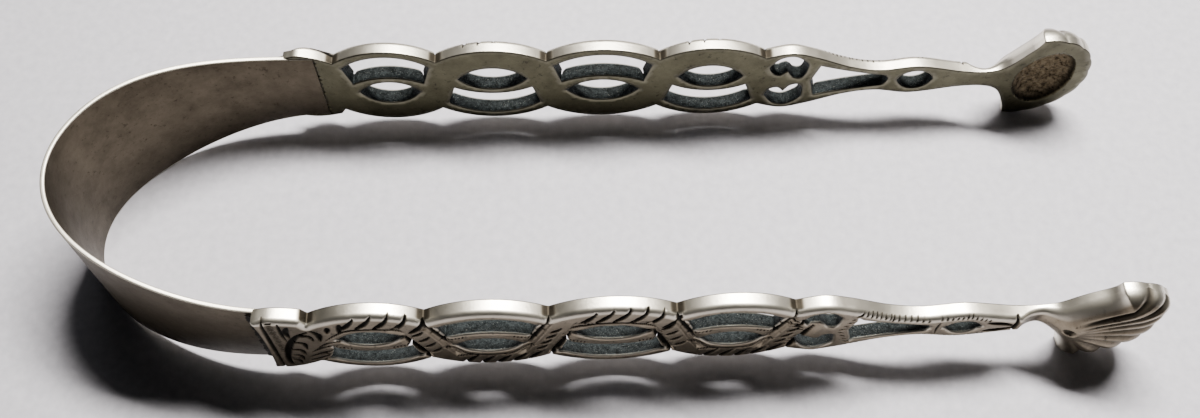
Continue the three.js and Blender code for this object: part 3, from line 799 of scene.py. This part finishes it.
def make_arm_shape():
    """Vertices in s, v, n, triangles, and each vertex's stain, wear, wall, dish and inside values. Stain
    holds painted shade in the notches and round the dish's rim as well as oxide; wear holds a painted
    highlight as well as polish.
    """
    loops = arm_loops()
    outer_loops = [loops[0], *map(drafted, loops[1:])]
    measure, outer_measure = nearest_edge(loops), nearest_edge(outer_loops)
    edge_count = sum(map(len, loops))
    outer, outer_faces = filled(outer_loops, OUTER_RINGS, OUTER_PITCH, outer_measure)
    inner, inner_faces = filled(loops, INNER_RINGS, INNER_PITCH, measure, (dish_points(), rebate_points()))
    (outer_apart, nearest), inner_apart = outer_measure(outer), measure(inner)[0]
    outer_apart[:edge_count] = 0
    inner_apart[:edge_count] = 0
    height, stain, wear_and_highlight = outer_height(outer, outer_apart, nearest == 0, all_cuts())
    bottom = inner_height(inner, inner_apart)
    share = dish_share(inner)
    parts = [np.column_stack([outer, height]), np.column_stack([inner, bottom])]
    opening = np.concatenate([np.full(len(loop), float(k > 0)) for k, loop in enumerate(loops)])
    # Painted shade deep in the notches between lobes, and darkening on the root's end, drawn in the oxide
    # colour through stain.
    crevice = notch_shade(outer[:edge_count]) * (1 - opening)
    stain[:edge_count] = np.maximum(stain[:edge_count], crevice)
    wall = np.zeros(len(outer))
    wall[:edge_count] = opening
    # Painted shade inside the dish, darkest just within its rim.
    dish_rim_shade = 0.8 * smooth((share - 0.8) / 0.17) * (share < 1)
    inner_wear = 0.12 * np.clip(1 - inner_apart / 0.3, 0, 1)
    dish = smooth((1.005 - share) / 0.03)
    values = [
        np.column_stack([stain, wear_and_highlight, wall, np.zeros((len(outer), 2))]),
        np.column_stack([dish_rim_shade, inner_wear, np.zeros(len(inner)), dish, np.ones(len(inner))]),
    ]
    first = len(outer) + len(inner)
    rings = [len(outer) + np.arange(edge_count)]
    low_edge, high_edge = parts[1][:edge_count], parts[0][:edge_count]
    for level in WALL_LEVELS:
        parts.append(low_edge + (high_edge - low_edge) * level)
        # Notch walls are drawn dark: painted shade.
        dark = np.maximum((0.25 + 0.35 * level) * opening, 0.85 * crevice)
        # The outline's walls, the arms' top and bottom edges, are drawn near-white: polished metal with a
        # painted highlight.
        rubbed_and_highlight = 0.85 * (1 - opening) * (1 - crevice)
        values.append(np.column_stack([dark, rubbed_and_highlight, opening, np.zeros((edge_count, 2))]))
        rings.append(first + np.arange(edge_count))
        first += edge_count
    rings.append(np.arange(edge_count))
    faces = [outer_faces, inner_faces[:, ::-1] + len(outer)]
    start = 0
    for loop in loops:
        i = start + np.arange(len(loop))
        j = start + (np.arange(len(loop)) + 1) % len(loop)
        for low, high in zip(rings, rings[1:]):
            faces.append(np.column_stack([low[i], low[j], high[j]]))
            faces.append(np.column_stack([low[i], high[j], high[i]]))
        start += len(loop)
    return np.vstack(parts), np.vstack(faces), np.vstack(values)


def mesh_object(name, points, faces, attributes=None):
    """A smooth-shaded mesh in the frame, with one float attribute for each name."""
    mesh = bpy.data.meshes.new(name)
    mesh.from_pydata([tuple(p) for p in to_frame(points)], [], [tuple(map(int, f)) for f in faces])
    for key, value in (attributes or {}).items():
        mesh.attributes.new(key, "FLOAT", "POINT").data.foreach_set("value", value.astype(np.float32))
    mesh.shade_smooth()
    mesh.update()
    obj = bpy.data.objects.new(name, mesh)
    bpy.context.scene.collection.objects.link(obj)
    return obj


# ---- Node building ----
def add(tree, kind, inputs=None, **settings):
    """Adds a node with its settings. inputs gives its sockets values or links, by name or number."""
    node = tree.nodes.new(kind)
    for key, value in settings.items():
        setattr(node, key, value)
    for key, value in (inputs or {}).items():
        if isinstance(value, bpy.types.NodeSocket):
            tree.links.new(value, node.inputs[key])
        else:
            node.inputs[key].default_value = value
    return node


def linear(colour):
    """An sRGB hex colour as linear RGBA."""
    parts = [int(colour[i:i + 2], 16) / 255 for i in (1, 3, 5)]
    return (*[p / 12.92 if p < 0.04045 else ((p + 0.055) / 1.055) ** 2.4 for p in parts], 1)


def new_material(name):
    material = bpy.data.materials.new(name)
    material.use_nodes = True
    tree = material.node_tree
    tree.nodes.clear()
    shader = add(tree, "ShaderNodeBsdfPrincipled")
    add(tree, "ShaderNodeOutputMaterial", {"Surface": shader.outputs[0]})
    place = add(tree, "ShaderNodeTexCoord").outputs["Object"]
    return material, tree, shader, place


# Colours of old sterling silver, on every piece of the tongs.
OXIDE = "#14120e"  # black in the cuts; also painted shade in the notches and round the dishes' rims, and the darkening on the roots' ends
SPECKS = "#342d22"  # brown tarnish spots
RUBBED_AND_HIGHLIGHT = "#f7f2e2"  # bare metal on the edges, and a painted highlight there
INNER_FACE_SHADE = "#979e90"  # painted shade that greys the arms' inner faces
SKIN_DARK, SKIN_LIGHT = "#1d2224", "#596163"  # as-cast skin in the openings
# painted glints: grains of the as-cast skin drawn bright as if catching the light
SKIN_PAINTED_GLINT = "#dfe0d6"
EARTH_DARK, EARTH_LIGHT = "#2b2319", "#8f8168"  # dirt and metal streaks in the shells' dishes


def old_silver(name, clean, tarnished, roughness):
    """Silver with a thin brown tarnish, bright on its edges and black in its cuts. The bright edges are
    polished metal with a painted highlight.

    stain, wear, wall, dish and inside are the mesh's own values: black oxide in the cuts, with painted shade
    in the notches and round the dish's rim; polish with a painted highlight; the as-cast skin left in the
    openings and in the shell's dish; and the greyer inner face, which is painted shade. Bright grains on the
    skin are painted glints. Tarnish clouds are 3.5 mm across and spots 0.8 mm. The skin's grain of 0.16 and
    0.6 mm is coarser than a real casting's, so that it shows.
    """
    material, tree, shader, place = new_material(name)
    value = {
        key: add(tree, "ShaderNodeAttribute", attribute_name=key).outputs["Fac"]
        for key in ("stain", "wear_and_highlight", "wall", "dish", "inside")
    }
    noise = {
        key: add(tree, "ShaderNodeTexNoise", {"Vector": place, "Scale": 1 / (size * MM), "Detail": detail,
                                              "Roughness": gain}).outputs["Fac"]
        for key, size, detail, gain in (("cloud", 3.5, 7, 0.72), ("spots", 0.8, 4, 0.7),
                                        ("coarse", 0.6, 5, 0.75), ("grain", 0.16, 3, 0.8))
    }
    patch = add(tree, "ShaderNodeMapRange", {"Value": noise["cloud"], "From Min": 0.3, "From Max": 0.75})
    skin = add(tree, "ShaderNodeMix", {"Factor": patch.outputs[0], 6: linear(clean), 7: linear(tarnished)},
               data_type="RGBA")
    speck = add(tree, "ShaderNodeMapRange", {"Value": noise["spots"], "From Min": 0.58, "From Max": 0.7,
                                             "To Max": 0.85})
    spotted = add(tree, "ShaderNodeMix", {"Factor": speck.outputs[0], 6: skin.outputs[2], 7: linear(SPECKS)},
                  data_type="RGBA")
    # Painted shade: the arms' inner faces are multiplied darker and greyer.
    film = add(tree, "ShaderNodeMix", {"Factor": 1, 6: spotted.outputs[2], 7: linear(INNER_FACE_SHADE)},
               data_type="RGBA", blend_type="MULTIPLY")
    sandy = add(tree, "ShaderNodeMath", {0: noise["grain"], 1: noise["coarse"]}, operation="ADD")
    cast = add(tree, "ShaderNodeMapRange", {"Value": sandy.outputs[0], "From Min": 0.84, "From Max": 1.2})
    dull = add(tree, "ShaderNodeMix", {"Factor": cast.outputs[0], 6: linear(SKIN_DARK),
                                       7: linear(SKIN_LIGHT)}, data_type="RGBA")
    # Painted glints: the brightest grains of the skin are drawn near-white.
    painted_glint = add(tree, "ShaderNodeMapRange", {"Value": noise["grain"], "From Min": 0.64, "From Max": 0.72})
    walls = add(tree, "ShaderNodeMix", {"Factor": painted_glint.outputs[0], 6: dull.outputs[2],
                                        7: linear(SKIN_PAINTED_GLINT)}, data_type="RGBA")
    streaks = add(tree, "ShaderNodeMapRange", {"Value": noise["coarse"], "From Min": 0.36, "From Max": 0.62})
    earth = add(tree, "ShaderNodeMix", {"Factor": streaks.outputs[0], 6: linear(EARTH_DARK),
                                        7: linear(EARTH_LIGHT)}, data_type="RGBA")
    colour = spotted.outputs[2]
    # wear lays polish and a painted highlight; stain lays oxide and painted shade; inside lays painted shade.
    for key, coat in (("inside", film.outputs[2]), ("wear_and_highlight", linear(RUBBED_AND_HIGHLIGHT)), ("wall", walls.outputs[2]),
                      ("dish", earth.outputs[2]), ("stain", linear(OXIDE))):
        coated = add(tree, "ShaderNodeMix", {"Factor": value[key], 6: colour, 7: coat}, data_type="RGBA")
        colour = coated.outputs[2]
    tree.links.new(colour, shader.inputs["Base Color"])
    rough = add(tree, "ShaderNodeMapRange", {"Value": noise["cloud"], "To Min": roughness - 0.08,
                                             "To Max": roughness + 0.14})
    left = add(tree, "ShaderNodeMath", {0: value["wall"], 1: value["dish"]}, operation="MAXIMUM")
    cast_rough = add(tree, "ShaderNodeMix", {"Factor": left.outputs[0], 2: rough.outputs[0], 3: 0.62},
                     data_type="FLOAT")
    black_rough = add(tree, "ShaderNodeMix", {"Factor": value["stain"], 2: cast_rough.outputs[0], 3: 0.7},
                      data_type="FLOAT")
    tree.links.new(black_rough.outputs[0], shader.inputs["Roughness"])
    shader.inputs["Metallic"].default_value = 1
    dents = add(tree, "ShaderNodeBump", {"Height": noise["spots"], "Strength": 0.35, "Distance": 0.03 * MM})
    amount = add(tree, "ShaderNodeMapRange", {"Value": left.outputs[0], "To Min": 0.08, "To Max": 0.9})
    bumps = add(tree, "ShaderNodeBump", {"Height": sandy.outputs[0], "Strength": amount.outputs[0],
                                         "Distance": 0.16 * MM, "Normal": dents.outputs[0]})
    tree.links.new(bumps.outputs[0], shader.inputs["Normal"])
    return material


# Sterling silver, cast, chased and handled: bright warm crests over black cuts.
CAST = old_silver("cast_silver", "#8f8574", "#655c4d", 0.34)
# Sterling silver sheet, rolled and bent: a plain, soft, brown-grey sheen with bright edges.
SHEET = old_silver("rolled_silver", "#5b5346", "#423b30", 0.45)
# Silver solder, run into the joint and oxidised: a matt, nearly black bead.
SOLDER = old_silver("hard_solder", "#26231e", "#12110e", 0.6)


# ---- The two arms ----
arm_points, arm_faces, arm_values = make_arm_shape()
arm_attributes = dict(zip(("stain", "wear_and_highlight", "wall", "dish", "inside"), arm_values.T))
for word, side in SIDES:
    arm = mesh_object(f"arm_{word}", arm_to_own(arm_points, side), arm_faces, arm_attributes)
    arm.data.materials.append(CAST)
    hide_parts(f"cast_arm_{word}")
    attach(arm, f"{word}_half")


# ---- The bow ----
BOW_EDGE = 0.2  # radius of the sheet's worn edges
BOW_PIECES = 110  # along each half
CROWN_ROOM = 0.02  # keeps the crown within the CAD part's box
EDGE_ROOM = 0.05  # the same for the two edges together
END_ROOM = 0.1  # between the bow's end and the rebate, both sides together
NARROWS_FROM = -BOW_DEPTH + BOW_LEVEL_EDGE + 1.6  # from the curve's end
NARROWS_TO = 0.4


def bow_tree():
    """Geometry Nodes tree of half the bow: a rounded section swept round a quarter of an ellipse."""
    tree = bpy.data.node_groups.new("half_bow", "GeometryNodeTree")
    sizes = {
        "Depth": BOW_DEPTH - SHEET_THICKNESS / 2 - CROWN_ROOM,
        "Half Span": BOW_HALF_SPAN + SHEET_THICKNESS / 2,
        "Thickness": SHEET_THICKNESS,
        "Crown Width": BOW_CROWN_WIDTH - EDGE_ROOM,
        "End Width": 2 * REBATE_HALF_WIDTH - END_ROOM,
        "Straight": REBATE_END - LAP_JOINT - CURVE_END,
        "Curve End": CURVE_END,
        "Edge Radius": BOW_EDGE,
    }
    tree.interface.new_socket("Geometry", in_out="INPUT", socket_type="NodeSocketGeometry")
    for name in sizes:
        tree.interface.new_socket(name, in_out="INPUT", socket_type="NodeSocketFloat")
    tree.interface.new_socket("Silver", in_out="INPUT", socket_type="NodeSocketMaterial")
    tree.interface.new_socket("Geometry", in_out="OUTPUT", socket_type="NodeSocketGeometry")
    given = add(tree, "NodeGroupInput").outputs
    quarter = add(tree, "GeometryNodeCurveArc", {"Resolution": BOW_PIECES, "Radius": 1,
                                                 "Start Angle": math.pi, "Sweep Angle": -math.pi / 2},
                  mode="RADIUS")
    size = add(tree, "ShaderNodeCombineXYZ", {"X": given["Depth"], "Y": given["Half Span"], "Z": 1})
    place = add(tree, "ShaderNodeCombineXYZ", {"X": given["Curve End"]})
    oval = add(tree, "GeometryNodeTransform", {"Geometry": quarter.outputs[0], "Scale": size.outputs[0],
                                               "Translation": place.outputs[0]})
    last = add(tree, "GeometryNodeCurveEndpointSelection", {"Start Size": 0, "End Size": 1})
    run = add(tree, "ShaderNodeCombineXYZ", {"X": given["Straight"]})
    path = add(tree, "GeometryNodeSetPosition", {"Geometry": oval.outputs[0], "Selection": last.outputs[0],
                                                 "Offset": run.outputs[0]})
    section = add(tree, "GeometryNodeCurvePrimitiveQuadrilateral", {"Width": given["Thickness"],
                                                                    "Height": given["Crown Width"]})
    rounded = add(tree, "GeometryNodeFilletCurve", {"Curve": section.outputs[0],
                                                    "Radius": given["Edge Radius"], "Count": 4}, mode="POLY")
    strip = add(tree, "GeometryNodeCurveToMesh", {"Curve": path.outputs[0],
                                                  "Profile Curve": rounded.outputs[0], "Fill Caps": True})
    position = add(tree, "GeometryNodeInputPosition").outputs[0]
    at = add(tree, "ShaderNodeSeparateXYZ", {"Vector": position}).outputs
    start = add(tree, "ShaderNodeMath", {0: given["Curve End"], 1: NARROWS_FROM}, operation="ADD")
    end = add(tree, "ShaderNodeMath", {0: given["Curve End"], 1: NARROWS_TO}, operation="ADD")
    narrow = add(tree, "ShaderNodeMath", {0: given["End Width"], 1: given["Crown Width"]},
                 operation="DIVIDE")
    share = add(tree, "ShaderNodeMapRange", {"Value": at["X"], "From Min": start.outputs[0],
                                             "From Max": end.outputs[0], "To Min": 1,
                                             "To Max": narrow.outputs[0]},
                interpolation_type="SMOOTHSTEP")
    height = add(tree, "ShaderNodeMath", {0: at["Z"], 1: share.outputs[0]}, operation="MULTIPLY")
    moved = add(tree, "ShaderNodeCombineXYZ", {"X": at["X"], "Y": at["Y"], "Z": height.outputs[0]})
    edge = add(tree, "ShaderNodeMath", {0: at["Z"]}, operation="ABSOLUTE")
    half = add(tree, "ShaderNodeMath", {0: given["Crown Width"], 1: 0.5}, operation="MULTIPLY")
    near = add(tree, "ShaderNodeMath", {0: half.outputs[0], 1: edge.outputs[0]}, operation="SUBTRACT")
    # Near-white edges of the sheet: polished metal with a painted highlight.
    wear_and_highlight = add(tree, "ShaderNodeMapRange", {"Value": near.outputs[0], "From Min": 0.6 * BOW_EDGE,
                                            "From Max": 0.95 * BOW_EDGE,
                                            "To Min": 1, "To Max": 0})
    marked = add(tree, "GeometryNodeStoreNamedAttribute", {"Geometry": strip.outputs[0], "Name": "wear_and_highlight",
                                                           "Value": wear_and_highlight.outputs[0]}, data_type="FLOAT")
    shaped = add(tree, "GeometryNodeSetPosition", {"Geometry": marked.outputs[0],
                                                   "Position": moved.outputs[0]})
    real = add(tree, "GeometryNodeRealizeInstances", {"Geometry": shaped.outputs[0]})
    done = add(tree, "GeometryNodeSetMaterial", {"Geometry": real.outputs[0], "Material": given["Silver"]})
    add(tree, "NodeGroupOutput", {"Geometry": done.outputs[0]})
    return tree, {**sizes, "Silver": SHEET}


def made_by(tree, values, name):
    """The plain mesh that a Geometry Nodes tree makes."""
    holder = bpy.data.objects.new(name, bpy.data.meshes.new(name))
    bpy.context.scene.collection.objects.link(holder)
    modifier = holder.modifiers.new(name, "NODES")
    modifier.node_group = tree
    for item in tree.interface.items_tree:
        if item.in_out == "INPUT" and item.name in values:
            modifier[item.identifier] = values[item.name]
    graph = bpy.context.evaluated_depsgraph_get()
    mesh = bpy.data.meshes.new_from_object(holder.evaluated_get(graph), depsgraph=graph)
    bpy.data.objects.remove(holder)
    return mesh


BOW_TREE = bow_tree()
for word, side in SIDES:
    mesh = made_by(*BOW_TREE, f"bow_half_{word}")
    mesh.transform(OWN @ Matrix.Rotation(0 if side > 0 else math.pi, 4, "X"))
    mesh.set_sharp_from_angle(angle=math.radians(35))
    half = bpy.data.objects.new(f"bow_{word}", mesh)
    bpy.context.scene.collection.objects.link(half)
    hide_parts("bow_crown", f"bow_shoulder_{word}")
    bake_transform(half)


def make_solder(word, side):
    """The bead of solder along the root's end and the thin line of it at the bow's end inside."""
    bead, bead_reach, line_reach = 0.42, REBATE_HALF_WIDTH - 0.25, BOW_END_WIDTH / 2 - 0.6
    low, root, line = SHEET_THICKNESS - 0.02, -ROOT_LENGTH + 0.15, REBATE_END - 1.5 * LAP_JOINT
    fillet = [
        (root, low),
        (root, low + 1.3 * bead),
        (root - 0.25, low + 0.75 * bead),
        (root - 0.5, low + 0.35 * bead),
        (root - 1, low + 0.03),
        (root - 1.05, low),
    ]
    film = [(line, 0.02), (line + 2 * LAP_JOINT, 0.02), (line + 2 * LAP_JOINT, low), (line, low)]
    points, faces = [], []
    for section, half in ((fillet, bead_reach), (film, line_reach)):
        rows = np.linspace(-half, half, 40)
        first, count = len(points), len(section)
        for v in rows:
            wave = 1 + 0.16 * math.sin(5.1 * v) * math.sin(2.3 * v + 1)
            uneven = wave if section is fillet else 1
            points += [(root + (s - root) * uneven, v, n) for s, n in section]
        for row in range(len(rows) - 1):
            for i in range(count):
                a, b = first + row * count + i, first + row * count + (i + 1) % count
                faces.append((a, b, b + count, a + count))
        faces.append(tuple(first + i for i in range(count))[::-1])
        faces.append(tuple(first + (len(rows) - 1) * count + i for i in range(count)))
    obj = mesh_object(f"solder_{word}", arm_to_own(points, side), faces)
    work = bmesh.new()
    work.from_mesh(obj.data)
    bmesh.ops.recalc_face_normals(work, faces=work.faces)
    work.to_mesh(obj.data)
    work.free()
    obj.data.materials.append(SOLDER)
    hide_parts(f"solder_seam_{word}")
    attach(obj, f"{word}_half")


for word, side in SIDES:
    make_solder(word, side)


# ---- Floor and light ----
def make_floor():
    """Uncoated paper: pale, matt and faintly uneven, with its fibre drawn coarser so that it shows."""
    bpy.ops.mesh.primitive_plane_add(size=3, location=(0, 0, 0))
    floor = bpy.context.object
    floor.name = "floor"
    material, tree, shader, place = new_material("matt_paper")
    fibre = add(tree, "ShaderNodeTexNoise", {"Vector": place, "Scale": 1 / (1.2 * MM), "Detail": 4})
    shade = add(tree, "ShaderNodeMix", {"Factor": fibre.outputs["Fac"], 6: linear("#b4b4bc"),
                                        7: linear("#d6d5dc")}, data_type="RGBA")
    tree.links.new(shade.outputs[2], shader.inputs["Base Color"])
    shader.inputs["Roughness"].default_value = 0.9
    shader.inputs["Specular IOR Level"].default_value = 0.2
    floor.data.materials.append(material)


def add_light(name, place, target, size, power, colour, spread):
    """A soft oblong lamp that faces the target. Places are in metres in the frame, spread in degrees."""
    data = bpy.data.lights.new(name, "AREA")
    data.shape = "RECTANGLE"
    data.size, data.size_y = size
    data.energy = power
    data.spread = math.radians(spread)
    data.color = linear(colour)[:3]
    lamp = bpy.data.objects.new(name, data)
    bpy.context.scene.collection.objects.link(lamp)
    lamp.location = place
    lamp.rotation_euler = (Vector(target) - Vector(place)).to_track_quat("-Z", "Y").to_euler()


make_floor()
add_light("lamp", place=(0.07, 0.124, 0.33), target=(0.03, 0.01, 0), size=(0.21, 0.06), power=2.1,
          colour="#fffaf4", spread=120)
add_light("window", place=(0.02, 0.4, 0.62), target=(0, 0, 0), size=(0.45, 0.3), power=0.35,
          colour="#fbfaff", spread=180)
world = bpy.data.worlds.new("room")
world.use_nodes = True
background = world.node_tree.nodes["Background"]
background.inputs["Color"].default_value = linear("#a7a9ac")
background.inputs["Strength"].default_value = 0.035
bpy.context.scene.world = world
